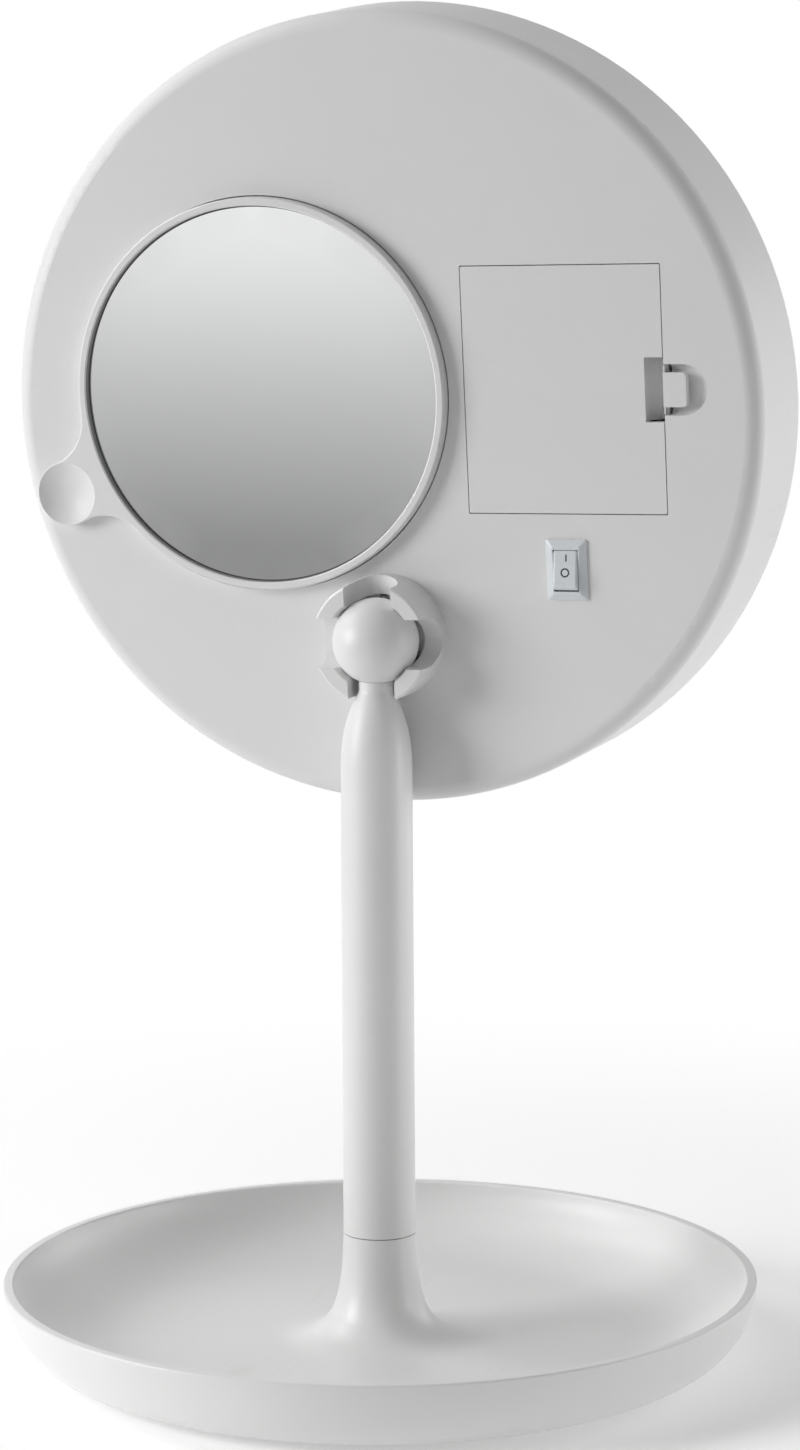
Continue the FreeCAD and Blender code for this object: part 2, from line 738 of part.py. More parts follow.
# ---- battery door with its hooks and folded spring leaf ----
def make_battery_door():
    skin = block(door_left, door_right, door_low, door_high, -door_thickness, 0, 0.3)
    half_notch = notch_height / 2.0
    notch = block(door_right - notch_width, door_right + 1.0, door_y - half_notch, door_y + half_notch,
                  -door_thickness - 1.0, 1.0)
    skin = skin.cut(notch)
    hooks = []
    for row in hook_rows:
        low = -wall - 1.25
        foot = [(door_left - hook_reach, low), (door_left + 1.7, low),
                (door_left + 1.7, -door_thickness + 0.3),
                (door_left + 0.35, -door_thickness + 0.3), (door_left + 0.35, -wall - 0.3),
                (door_left - hook_reach, -wall - 0.3)]
        hook = Part.Face(rounded_outline(foot, upright)).extrude(Vector(0, hook_width, 0))
        hook.translate(Vector(0, row - hook_width / 2.0, 0))
        hooks.append(hook)
    bend_outer = (leaf_left + leaf_thickness - (door_right - notch_width - leaf_thickness)) / 2.0
    bend_middle = leaf_left + leaf_thickness - bend_outer
    bend_low = -leaf_drop - 0.1
    leg_left = bend_middle - bend_outer
    bend_inner = bend_outer - leaf_thickness
    bend = [Part.makeLine(Vector(leg_left, 0, -door_thickness + 0.3), Vector(leg_left, 0, bend_low)),
            Part.Arc(Vector(leg_left, 0, bend_low), Vector(bend_middle, 0, bend_low - bend_outer),
                     Vector(bend_middle + bend_outer, 0, bend_low)).toShape(),
            Part.makeLine(Vector(bend_middle + bend_outer, 0, bend_low),
                          Vector(bend_middle + bend_inner, 0, bend_low)),
            Part.Arc(Vector(bend_middle + bend_inner, 0, bend_low),
                     Vector(bend_middle, 0, bend_low - bend_inner),
                     Vector(bend_middle - bend_inner, 0, bend_low)).toShape(),
            Part.makeLine(Vector(bend_middle - bend_inner, 0, bend_low),
                          Vector(bend_middle - bend_inner, 0, -door_thickness + 0.3)),
            Part.makeLine(Vector(bend_middle - bend_inner, 0, -door_thickness + 0.3),
                          Vector(leg_left, 0, -door_thickness + 0.3))]
    fold = Part.Face(Part.Wire(bend))
    leaf = fold.extrude(Vector(0, latch_width, 0))
    leaf.translate(Vector(0, door_y - latch_width / 2.0, 0))
    trough = fold.extrude(Vector(0, notch_height, 0))
    trough.translate(Vector(0, door_y - notch_height / 2.0, 0))
    trough = trough.common(block(leg_left - 1.0, door_right - 0.1, door_low, door_high, -20.0, 1.0))
    ribs = [block(x - 0.5, x + 0.5, door_low + 4.0, door_high - 4.0, -door_thickness - 0.6,
                  -door_thickness + 0.2)
            for x in (cell_lines[0] + cell_pitch / 2.0, cell_lines[1] + cell_pitch / 2.0)]
    return joined([skin, leaf, trough] + hooks + ribs)


save("battery_door", make_battery_door(), True)

leaf_plate = block(leaf_left, leaf_left + leaf_thickness,
                   door_y - latch_width / 2.0, door_y + latch_width / 2.0,
                   -leaf_drop, -lip_depth)
leaf_lip = block(leaf_left, leaf_left + latch_lip, door_y - latch_width / 2.0, door_y + latch_width / 2.0,
                 -lip_depth - 0.1, -0.2)
tongue = plate([(leaf_left, door_y - tongue_width / 2.0),
                (leaf_left + tongue_length, door_y - tongue_width / 2.0, 1.1),
                (leaf_left + tongue_length, door_y + tongue_width / 2.0, 1.1),
                (leaf_left, door_y + tongue_width / 2.0)],
               tongue_rise - 1.5, tongue_rise)
tongue_rim = [edge for edge in tongue.Edges
              if abs(edge.BoundBox.ZMin - tongue_rise) < 1e-6 and edge.BoundBox.XMax > leaf_left + 0.1]
save("door_latch", joined([leaf_plate, leaf_lip, tongue.makeFillet(0.35, tongue_rim)]), True)


# ---- rocker switch ----
def make_switch_housing():
    half_x = bezel_width / 2.0
    half_y = bezel_height / 2.0
    inset = bezel_bevel
    foot = block(-half_x, half_x, -half_y, half_y, 0, bezel_foot, 0.6)
    lofted = Part.makeLoft([
        rounded_outline([(-half_x, -half_y, 0.6), (half_x, -half_y, 0.6), (half_x, half_y, 0.6),
                         (-half_x, half_y, 0.6)], lambda p: Vector(p.x, p.y, bezel_foot)),
        rounded_outline([(-half_x + inset, -half_y + inset, 0.4), (half_x - inset, -half_y + inset, 0.4),
                         (half_x - inset, half_y - inset, 0.4), (-half_x + inset, half_y - inset, 0.4)],
                        lambda p: Vector(p.x, p.y, bezel_rise))], True, True)
    body = block(-body_width / 2.0, body_width / 2.0, -body_height / 2.0, body_height / 2.0, -body_drop, 0.1)
    whole = joined([foot, lofted, body])
    well_x = rocker_width / 2.0 + rocker_side_gap
    well_low = -rocker_radius - rocker_gap
    well_high = rocker_radius + rocker_top_gap
    cavity = block(-well_x, well_x, well_low, well_high, -body_drop + 1.6, bezel_rise + 1.0)
    pin_hole = Part.makeCylinder(pivot_pin + running_clearance, body_width + 2.0,
                                 Vector(-body_width / 2.0 - 1.0, 0, rocker_pivot), Vector(1, 0, 0))
    pin_hole = pin_hole.common(block(-body_width / 2.0 + 0.1, body_width / 2.0 - 0.1, -2, 2, -2, 3))
    whole = without(whole, [cavity, pin_hole])
    whole.translate(Vector(switch_x, switch_y, 0))
    return whole


def make_rocker():
    """Round-ended rocker about its own pin, tipped so that its upper end is pressed in."""
    half = math.sqrt(rocker_radius ** 2 - rocker_face ** 2)
    low = -4.2
    low_half = math.sqrt(rocker_radius ** 2 - low ** 2)
    edges = [Part.makeLine(Vector(0, -half, rocker_face), Vector(0, half, rocker_face)),
             Part.Arc(Vector(0, half, rocker_face), Vector(0, rocker_radius, 0),
                      Vector(0, low_half, low)).toShape(),
             Part.makeLine(Vector(0, low_half, low), Vector(0, -low_half, low)),
             Part.Arc(Vector(0, -low_half, low), Vector(0, -rocker_radius, 0),
                      Vector(0, -half, rocker_face)).toShape()]
    cap = Part.Face(Part.Wire(edges)).extrude(Vector(rocker_width, 0, 0))
    cap.translate(Vector(-rocker_width / 2.0, 0, 0))
    for end_y, radius in ((-half, rocker_low_round), (half, rocker_high_round)):
        ends = [edge for edge in cap.Edges
                if abs(edge.CenterOfMass.y - end_y) < 0.02 and abs(edge.CenterOfMass.z - rocker_face) < 0.02]
        cap = cap.makeFillet(radius, ends)
    sides = [edge for edge in cap.Edges
             if abs(abs(edge.CenterOfMass.x) - rocker_width / 2.0) < 0.02 and edge.CenterOfMass.z > 0.9
             and abs(edge.CenterOfMass.y) < rocker_radius - 0.2]
    cap = cap.makeFillet(rocker_side_round, sides)
    pin_reach = body_width / 2.0 - 0.2
    pin = Part.makeCylinder(pivot_pin, 2.0 * pin_reach, Vector(-pin_reach, 0, 0), Vector(1, 0, 0))
    whole = joined([cap, pin])
    whole.rotate(Vector(0, 0, 0), Vector(1, 0, 0), -rocker_swing)
    whole.translate(Vector(switch_x, switch_y, rocker_pivot))
    return whole


terminals = []
for offset in (-3.6, 3.6):
    blade = block(switch_x - 1.4, switch_x + 1.4, switch_y + offset - 0.25, switch_y + offset + 0.25,
                  -body_drop - 6.0, -body_drop + 1.4)
    eye = Part.makeCylinder(0.7, 2.0, Vector(switch_x, switch_y + offset - 1.0, -body_drop - 4.4),
                            Vector(0, 1, 0))
    terminals.append(blade.cut(eye))
save("switch_terminals", Part.makeCompound(terminals), True)
save("switch_housing", without(make_switch_housing(), terminals), True)
save("switch_rocker", make_rocker(), True)


# ---- front of the head: chassis, light ring, diffuser and main mirror ----
glass_front = head_depth - glass_setback
glass_back = glass_front - glass_thickness
diffuser_back = glass_front - diffuser_thickness


def make_front_frame():
    gap_wall = glass_radius + 0.4
    outer = diffuser_outer - 0.1
    channel = channel_floor - channel_skin
    body = turned([(0, -glass_back + platform_thickness), (gap_wall - 1.6, -glass_back + platform_thickness),
                   (gap_wall - 1.6, -channel), (outer, -channel, 0.8), (outer, -diffuser_back + 0.05),
                   (outer - 1.5, -diffuser_back + 0.05), (outer - 1.5, -channel_floor),
                   (gap_wall + 1.5, -channel_floor),
                   (gap_wall + 1.5, -diffuser_back + 0.05), (gap_wall, -diffuser_back + 0.05),
                   (gap_wall, -glass_back), (0, -glass_back)], 0, head_rise)
    bosses = [rod(post_radius, x, y, -glass_back + 0.5, -post_foot - 0.05) for x, y in posts]
    body = joined([body] + bosses)
    cutters = []
    for x, y in posts:
        cutters.append(rod(small_screw_radius + 0.35, x, y, -glass_back - 1.0, -post_foot + 1.0))
        cutters.append(rod(small_head_radius + 0.3, x, y, -glass_back - 1.0,
                           -glass_back + small_head_height + 0.3))
    return without(body, cutters)


save("front_frame", make_front_frame(), True)
save("chassis_screws", Part.makeCompound([
    pan_screw(small_screw_radius - 0.1, small_head_radius, small_head_height, x, y,
              -glass_back + small_head_height + 0.3, -post_foot + 9.0) for x, y in posts]), True)
save("main_mirror",
     turned([(0, -glass_front), (glass_radius, -glass_front, 0.5), (glass_radius, -glass_back - 0.02),
                            (0, -glass_back - 0.02)], 0, head_rise), True)
save("diffuser_ring", turned([(glass_radius + 0.4, -diffuser_back), (glass_radius + 0.4, -glass_front, 0.4),
                              (diffuser_outer, -glass_front, 0.4), (diffuser_outer, -diffuser_back)],
                             0, head_rise), True)
board_face = channel_floor + board_thickness
save("led_board", tube(board_outer, board_inner, 0, head_rise, -board_face, -channel_floor - 0.02), True)
led_circle = (board_inner + board_outer) / 2.0
leds = []
for index in range(led_count):
    chip = block(led_circle - led_size / 2.0, led_circle + led_size / 2.0, -led_size / 2.0, led_size / 2.0,
                 -board_face - led_height, -board_face - 0.02)
    chip.rotate(Vector(0, 0, 0), Vector(0, 0, 1), 360.0 / led_count * (index + 0.5))
    chip.translate(Vector(0, head_rise, 0))
    leds.append(chip)
save("leds", Part.makeCompound(leds), True)
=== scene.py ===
import math

import bmesh
import bpy
from mathutils import Matrix, Vector


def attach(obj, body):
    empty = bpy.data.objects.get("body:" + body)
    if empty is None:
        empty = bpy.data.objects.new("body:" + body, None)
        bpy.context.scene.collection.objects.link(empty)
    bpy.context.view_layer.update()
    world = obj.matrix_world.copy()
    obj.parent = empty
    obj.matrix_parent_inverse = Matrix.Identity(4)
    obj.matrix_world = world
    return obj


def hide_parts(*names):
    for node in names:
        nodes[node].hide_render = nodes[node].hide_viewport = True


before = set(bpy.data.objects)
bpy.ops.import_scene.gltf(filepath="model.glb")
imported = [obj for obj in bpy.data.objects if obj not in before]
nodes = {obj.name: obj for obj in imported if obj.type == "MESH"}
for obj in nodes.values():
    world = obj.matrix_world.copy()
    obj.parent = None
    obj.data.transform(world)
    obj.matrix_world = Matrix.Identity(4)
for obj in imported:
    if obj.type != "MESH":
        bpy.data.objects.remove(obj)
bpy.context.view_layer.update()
print("frame loaded:", len(nodes), "nodes")


class Wire:
    # one socket of a node; its operators add Math nodes
    def __init__(self, tree, socket):
        self.tree = tree
        self.socket = socket

    def math(self, operation, other=None, swap=False):
        values = [self] if other is None else [other, self] if swap else [self, other]
        return self.tree.node("ShaderNodeMath", {"operation": operation}, values)[0]

    def __add__(self, other): return self.math("ADD", other)
    def __radd__(self, other): return self.math("ADD", other, True)
    def __sub__(self, other): return self.math("SUBTRACT", other)
    def __rsub__(self, other): return self.math("SUBTRACT", other, True)
    def __mul__(self, other): return self.math("MULTIPLY", other)
    def __rmul__(self, other): return self.math("MULTIPLY", other, True)
    def __gt__(self, other): return self.math("GREATER_THAN", other)
    def __lt__(self, other): return self.math("LESS_THAN", other)

    def clamped(self):
        return self.math("MAXIMUM", 0.0).math("MINIMUM", 1.0)


class Tree:
    # one node tree and the one way every node gets into it
    def __init__(self, nodeTree):
        self.tree = nodeTree
        self.tree.nodes.clear()

    def node(self, kind, settings=None, values=()):
        made = self.tree.nodes.new(kind)
        for name, value in (settings or {}).items():
            if name == "stops":
                self.setStops(made.color_ramp.elements, value)
            else:
                setattr(made, name, value)
        pairs = values.items() if isinstance(values, dict) else enumerate(values)
        for key, value in pairs:
            self.feed(made.inputs[key], value)
        return [Wire(self, out) for out in made.outputs if out.enabled]

    def setStops(self, elements, stops):
        while len(elements) < len(stops):
            elements.new(0.5)
        for stop, (place, tone) in zip(elements, stops):
            stop.position = place
            stop.color = (tone, tone, tone, 1) if isinstance(tone, (int, float)) else (*tone, 1)

    def feed(self, socket, value):
        if isinstance(value, Wire):
            self.tree.links.new(value.socket, socket)
        elif value is not None:
            if socket.type == "RGBA" and len(value) == 3:
                value = (*value, 1)
            socket.default_value = value


class Shader(Tree):
    # a material's or a world's node tree
    def __init__(self, owner):
        owner.use_nodes = True
        super().__init__(owner.node_tree)

    def spot(self):
        return self.node("ShaderNodeTexCoord")[3]

    def vector(self, operation, *values):
        return self.node("ShaderNodeVectorMath", {"operation": operation}, values)[0]

    def place(self, scale=(1, 1, 1), shift=(0, 0, 0), turn=(0, 0, 0)):
        values = {"Vector": self.spot(), "Location": shift, "Rotation": turn, "Scale": scale}
        return self.node("ShaderNodeMapping", {}, values)[0]

    def noise(self, scale, detail=3.0, rough=0.5, where=None):
        values = {"Vector": where or self.spot(), "Scale": scale, "Detail": detail, "Roughness": rough}
        return self.node("ShaderNodeTexNoise", {}, values)[0]

    def cells(self, scale, feature="F1", where=None):
        values = {"Vector": where or self.spot(), "Scale": scale}
        return self.node("ShaderNodeTexVoronoi", {"feature": feature}, values)

    def along(self, direction, start):
        # distance from a point in one direction, in metres
        return self.vector("DOT_PRODUCT", self.spot(), tuple(direction)) - Vector(direction).dot(start)

    def apart(self, centre, scale=(1, 1, 1)):
        # distance from a point; a zero in the scale leaves that axis out
        offset = self.vector("SUBTRACT", self.spot(), tuple(centre))
        return self.vector("LENGTH", self.vector("MULTIPLY", offset, scale))

    def around(self, centre, axis):
        # distance from a line through a point, in metres
        offset = self.vector("SUBTRACT", self.spot(), tuple(centre))
        return self.vector("LENGTH", self.vector("CROSS_PRODUCT", offset, tuple(axis)))

    def ramp(self, factor, stops):
        return self.node("ShaderNodeValToRGB", {"stops": stops}, [factor])[0]

    def soften(self, value, low, high):
        # 0 below low, 1 above high and smooth between
        values = {"Value": value, "From Min": low, "From Max": high}
        return self.node("ShaderNodeMapRange", {"interpolation_type": "SMOOTHSTEP"}, values)[0]

    def mix(self, factor, first, second, kind="MIX"):
        return self.node("ShaderNodeMix", {"data_type": "RGBA", "blend_type": kind},
                         {0: factor, 6: first, 7: second})[0]

    def bump(self, height, strength, distance):
        values = {"Strength": strength, "Distance": distance, "Height": height}
        return self.node("ShaderNodeBump", {}, values)[0]

    def scratches(self, scale, turn, keep):
        # a few hair lines: 1 on a line, 0 elsewhere
        where = self.place((1, 0.06, 1), (0, 0, 0), turn)
        line = self.cells(scale, "DISTANCE_TO_EDGE", where)[0]
        patch = self.soften(self.noise(scale * 0.2, 2.0), keep, keep + 0.06)
        return (1 - self.soften(line, 0.0, 0.035)) * patch

    def finish(self, **sockets):
        names = {key.replace("_", " "): value for key, value in sockets.items()}
        surface = self.node("ShaderNodeBsdfPrincipled", {}, names)[0]
        self.node("ShaderNodeOutputMaterial", {}, {"Surface": surface})


def material(name):
    made = bpy.data.materials.new(name)
    return made, Shader(made)


view = {
    "azimuth": 200.979, "rise": 8.932, "roll": -0.379,  # degrees
    "distance": 1.082654, "height": 0.154598,  # metres, of the point looked at
    "focalPixels": 4367.335, "centreX": 376.45, "centreY": 747.330, "pixelsWide": 800, "pixelsHigh": 1450}


def makeCamera():
    azimuth, rise, roll = (math.radians(view[name]) for name in ("azimuth", "rise", "roll"))
    back = Vector((math.sin(azimuth) * math.cos(rise), -math.cos(azimuth) * math.cos(rise), math.sin(rise)))
    level = Vector((math.cos(azimuth), math.sin(azimuth), 0))
    upright = back.cross(level)
    right = level * math.cos(roll) + upright * math.sin(roll)
    up = upright * math.cos(roll) - level * math.sin(roll)
    data = bpy.data.cameras.new("camera")
    camera = bpy.data.objects.new("camera", data)
    bpy.context.scene.collection.objects.link(camera)
    camera.matrix_world = Matrix((right, up, back)).transposed().to_4x4()
    camera.location = Vector((0, 0, view["height"])) + back * view["distance"]
    data.sensor_width = 36
    data.lens = view["focalPixels"] / view["pixelsHigh"] * data.sensor_width
    data.shift_x = (view["pixelsWide"] / 2 - view["centreX"]) / view["pixelsHigh"]
    data.shift_y = (view["centreY"] - view["pixelsHigh"] / 2) / view["pixelsHigh"]
    data.clip_start = 0.01
    bpy.context.scene.camera = camera


makeCamera()
print("camera set")


# the head's own frame: x to the right and y up as seen from behind, z out of the back
headPlace = {"origin": (0, -0.00809, 0.181604), "lean": 2.8600, "turn": 1.3103, "middleY": 0.0555}


def headMatrix():
    lean = math.radians(headPlace["lean"])
    turn = math.radians(headPlace["turn"])
    out = Vector((0, math.cos(lean), -math.sin(lean)))
    rise = Vector((0, math.sin(lean), math.cos(lean)))
    side = Vector((-1, 0, 0))
    right = side * math.cos(turn) + rise * math.sin(turn)
    up = rise * math.cos(turn) - side * math.sin(turn)
    return Matrix.Translation(headPlace["origin"]) @ Matrix((right, up, out)).transposed().to_4x4()


head = headMatrix()
headUp = head.to_3x3() @ Vector((0, 1, 0))
headOut = head.to_3x3() @ Vector((0, 0, 1))


def inHead(x, y, z):
    # a place in the head's frame, in millimetres
    return head @ Vector((x / 1000, y / 1000, z / 1000))


plastics = {
    # colour, roughness, gloss, depth of the moulded grain and how much the tone drifts
    "standPlastic": {"colour": (0.80, 0.80, 0.797), "rough": 0.40, "gloss": 0.5,
                     "grain": 0.09, "drift": 0.018},
    "headPlastic": {"colour": (0.80, 0.80, 0.80), "rough": 0.42, "gloss": 0.3,
                    "grain": 0.11, "drift": 0.016},
    "framePlastic": {"colour": (0.82, 0.82, 0.82), "rough": 0.26, "gloss": 0.5,
                     "grain": 0.03, "drift": 0.012},
    "socketPlastic": {"colour": (0.79, 0.79, 0.787), "rough": 0.36, "gloss": 0.4,
                      "grain": 0.06, "drift": 0.022},
    "innerPlastic": {"colour": (0.70, 0.70, 0.685), "rough": 0.50, "gloss": 0.4,
                     "grain": 0.16, "drift": 0.05},
    "switchPlastic": {"colour": (0.735, 0.765, 0.79), "rough": 0.28, "gloss": 0.5,
                      "grain": 0.03, "drift": 0.012},
}


tones = {
    # the two ends of each surface's tone
    "mirror": ((0.935, 0.942, 0.942), (0.955, 0.96, 0.96)),
    "diffuser": ((0.83, 0.84, 0.845), (0.87, 0.875, 0.88)),
    "plate": ((0.50, 0.51, 0.52), (0.66, 0.67, 0.68)),
    "foam": ((0.20, 0.20, 0.205), (0.33, 0.33, 0.335)),
    "ceramic": ((0.78, 0.78, 0.76), (0.86, 0.86, 0.84)),
    "phosphor": ((0.78, 0.62, 0.14), (0.90, 0.78, 0.30)),
    "ink": ((0.028, 0.030, 0.036), (0.22, 0.23, 0.25))}
dust = (0.66, 0.655, 0.64)

glassRimShade = {
    # the round magnifier in the head's frame, in millimetres: its middle, where its ring's inner wall
    # and its glass end, how wide the painted shade line at the glass's edge is, and where each painted shade
    # fades;
    # painted shade stands for the shadow on the ring's inner wall and in the gap round the glass
    "middle": (-30.2, 60.3, 0), "wall": 46.8, "glass": 46.7, "line": 0.25,
    "wallFade": (0.04, 0.10), "lineFade": 0.03,
    "wallShadeTone": (0.24, 0.24, 0.242), "lineShadeTone": (0.13, 0.13, 0.135)}


# distance from the magnifier's axis, in millimetres, where the painted shade round its glass goes
def distanceFromMagnifierAxis(shade):
    return shade.around(inHead(*glassRimShade["middle"]), headOut) * 1000


def mouldedPlastic(name, withRimShade=False):
    facts = plastics[name]
    made, shade = material("seamed" + name if withRimShade else name)
    flow = shade.noise(21.0, 4.0, 0.55)
    grain = shade.noise(2400.0, 2.0, 0.6)
    handled = shade.soften(shade.noise(46.0, 3.0), 0.44, 0.7)
    lines = shade.scratches(150.0, (0.3, 0.5, 0.9), 0.60)
    tone = shade.ramp(flow, [(0.3, 1 - facts["drift"]), (0.7, 1.0)])
    colour = shade.mix(1.0, facts["colour"], tone, "MULTIPLY")
    dustAndPaintedShade = shade.mix(lines * 0.10 + handled * 0.02, colour, dust)
    if withRimShade:
        # painted shade: the ring's inner wall round the glass is darkened where it lies in shadow
        fadeFrom, fadeTo = (glassRimShade["wall"] + step for step in glassRimShade["wallFade"])
        paintedWallShade = 1 - shade.soften(distanceFromMagnifierAxis(shade), fadeFrom, fadeTo)
        dustAndPaintedShade = shade.mix(paintedWallShade, dustAndPaintedShade, glassRimShade["wallShadeTone"])
    shade.finish(
        Base_Color=dustAndPaintedShade, Specular_IOR_Level=facts["gloss"],
        Roughness=facts["rough"] + (flow - 0.5) * 0.10 - handled * 0.05 + lines * 0.12,
        Normal=shade.bump(grain + lines * -0.5, facts["grain"], 0.00005))
    return made


tray = {"centre": (0, 0, 0.006), "floorRadius": 0.066, "rubbedShare": 0.8, "rubTone": (0.62, 0.615, 0.60)}


def trayPlastic():
    # the stand's plastic with the rub marks that things laid in the tray leave on its floor
    facts = plastics["standPlastic"]
    made, shade = material("trayPlastic")
    flow = shade.noise(17.0, 4.0, 0.55)
    grain = shade.noise(2400.0, 2.0, 0.6)
    across = shade.apart(tray["centre"], (1, 1, 0))
    inFloor = 1 - shade.soften(across, tray["floorRadius"] * tray["rubbedShare"], tray["floorRadius"])
    rubs = shade.scratches(120.0, (0, 0, 0.4), 0.52) + shade.scratches(90.0, (0, 0, 1.9), 0.56)
    rubs = rubs.clamped() * inFloor
    tone = shade.ramp(flow, [(0.3, 1 - facts["drift"]), (0.7, 1.0)])
    colour = shade.mix(1.0, facts["colour"], tone, "MULTIPLY")
    shade.finish(
        Base_Color=shade.mix(rubs * 0.05, colour, tray["rubTone"]),
        Roughness=facts["rough"] + (flow - 0.5) * 0.10 - inFloor * 0.04 + rubs * 0.14,
        Normal=shade.bump(grain + rubs * -0.25, facts["grain"], 0.00005))
    return made


def mirrorGlass(withRimShade=False):
    made, shade = material("seamedMirror" if withRimShade else "mirrorGlass")
    film = shade.noise(48.0, 5.0, 0.6)
    smear = shade.soften(shade.noise(14.0, 3.0, 0.5, shade.place((1, 1, 0.35))), 0.5, 0.75)
    silver = shade.mix(film, *tones["mirror"])
    edge = 0.0
    if withRimShade:
        # painted shade: a dark, dull line on the glass's edge where the gap to the ring lies in shadow
        start = glassRimShade["glass"] - glassRimShade["line"]
        fade = glassRimShade["lineFade"]
        edge = shade.soften(distanceFromMagnifierAxis(shade), start - fade, start + fade)
        silver = shade.mix(edge, silver, glassRimShade["lineShadeTone"])
    shade.finish(
        Base_Color=silver,
        Metallic=1.0 - edge,
        Roughness=0.006 + film * 0.010 + smear * 0.012 + edge * 0.3)
    return made


def frostedPlastic():
    # the light ring's diffuser: a fine blasted face over a milky body
    made, shade = material("frostedPlastic")
    blast = shade.noise(5200.0, 2.0, 0.7)
    cloud = shade.noise(30.0, 4.0)
    shade.finish(
        Base_Color=shade.mix(cloud, *tones["diffuser"]),
        Roughness=0.46 + (blast - 0.5) * 0.16,
        Coat_Weight=0.04 + cloud * 0.04,
        Normal=shade.bump(blast, 0.06, 0.00004))
    return made


metals = {
    # bare colour, worn colour, roughness, stretch of the grain and its scale
    "zincSteel": {"bare": (0.62, 0.62, 0.60), "worn": (0.44, 0.44, 0.43), "rough": 0.30,
                  "stretch": (1, 1, 0.12), "scale": 900.0},
    "springSteel": {"bare": (0.70, 0.69, 0.66), "worn": (0.50, 0.47, 0.42), "rough": 0.22,
                    "stretch": (0.15, 1, 1), "scale": 1300.0},
    "brass": {"bare": (0.78, 0.58, 0.27), "worn": (0.52, 0.36, 0.15), "rough": 0.26,
              "stretch": (1, 1, 0.2), "scale": 1100.0},
    "nickel": {"bare": (0.72, 0.70, 0.67), "worn": (0.53, 0.51, 0.48), "rough": 0.18,
               "stretch": (1, 0.3, 1), "scale": 800.0},
}


def workedMetal(name):
    facts = metals[name]
    made, shade = material(name)
    streak = shade.noise(facts["scale"], 3.0, 0.6, shade.place(facts["stretch"]))
    stain = shade.soften(shade.noise(90.0, 4.0, 0.6), 0.42, 0.72)
    shade.finish(
        Base_Color=shade.mix((streak * 0.35 + stain * 0.4).clamped(), facts["bare"], facts["worn"]),
        Metallic=1.0,
        Roughness=facts["rough"] + streak * 0.14 + stain * 0.10,
        Normal=shade.bump(streak, 0.14, 0.00005))
    return made


def weightPlate():
    # rolled and galvanised: large spangles with their own tone and gloss
    made, shade = material("weightPlate")
    spangle = shade.cells(150.0)
    fleck = shade.node("ShaderNodeSeparateColor", {}, [spangle[1]])[0]
    rolled = shade.noise(500.0, 3.0, 0.6, shade.place((1, 0.06, 1)))
    shade.finish(
        Base_Color=shade.mix(fleck, *tones["plate"]),
        Metallic=1.0,
        Roughness=0.30 + fleck * 0.18 + rolled * 0.08,
        Normal=shade.bump(fleck * 0.6 + rolled * 0.4, 0.12, 0.00008))
    return made


def foamRubber():
    # closed-cell foam: pores pressed into the sheet, their sunken bottoms darkened with painted shade
    made, shade = material("foamRubber")
    pore = shade.cells(1500.0)[0]
    wide = shade.cells(520.0)[0]
    pit = (shade.soften(pore, 0.05, 0.5) * 0.6 + shade.soften(wide, 0.05, 0.55) * 0.4).clamped()
    shade.finish(
        Base_Color=shade.mix(pit, *tones["foam"]),
        Roughness=0.78 + pit * 0.14,
        Normal=shade.bump(pit, 0.5, 0.00016))
    return made


cellFacts = {
    # the three cells' middles in the head's frame, in millimetres, and which way each one's cap points
    "middleX": (32.61, 47.46, 62.31), "middleY": 61.08, "middleZ": -9.9, "ways": (-1, 1, -1),
    "sleeveHalf": 24.3, "capEnd": 1.2, "bandFrom": 11.0, "ruleFrom": 1.3, "ruleTo": 0.7,
    "body": (0.045, 0.075, 0.12), "band": (0.58, 0.60, 0.62), "rule": (0.78, 0.78, 0.76),
    "scuff": (0.55, 0.55, 0.54), "steel": ((0.55, 0.55, 0.53), (0.68, 0.68, 0.66))}


def cellCan(index):
    # printed sleeve: blue-grey body, a pale band at the cap's end, bare steel at both ends
    made, shade = material("cellCan" + str(index + 1))
    middle = inHead(cellFacts["middleX"][index], cellFacts["middleY"], cellFacts["middleZ"])
    height = shade.along(headUp * cellFacts["ways"][index] * 1000, middle)
    sleeve = (height > -cellFacts["sleeveHalf"]) * (height < cellFacts["sleeveHalf"] - cellFacts["capEnd"])
    band = shade.soften(height, cellFacts["bandFrom"] - 0.1, cellFacts["bandFrom"] + 0.1)
    ruleStart, ruleEnd = (cellFacts["bandFrom"] - cellFacts[name] for name in ("ruleFrom", "ruleTo"))
    rule = (height > ruleStart) * (height < ruleEnd)
    scuff = shade.soften(shade.noise(420.0, 4.0, 0.6), 0.62, 0.72)
    ink = shade.mix(band, cellFacts["body"], cellFacts["band"])
    ink = shade.mix(rule, ink, cellFacts["rule"])
    ink = shade.mix(scuff * 0.35, ink, cellFacts["scuff"])
    steel = shade.noise(700.0, 3.0)
    shade.finish(
        Base_Color=shade.mix(sleeve, shade.mix(steel, *cellFacts["steel"]), ink),
        Metallic=1 - sleeve * (1 - band * 0.7),
        Roughness=0.24 + scuff * sleeve * 0.2 + steel * 0.12,
        Coat_Weight=sleeve * 0.4,
        Normal=shade.bump(steel, 0.08, 0.00004))
    return made


boardFacts = {
    # in metres from the head's middle, the edges of the two copper tracks
    "outerTrack": (0.0900, 0.0912), "innerTrack": (0.0846, 0.0858),
    "mask": ((0.76, 0.77, 0.76), (0.80, 0.81, 0.80)), "track": (0.66, 0.62, 0.50), "hole": (0.52, 0.50, 0.45)}


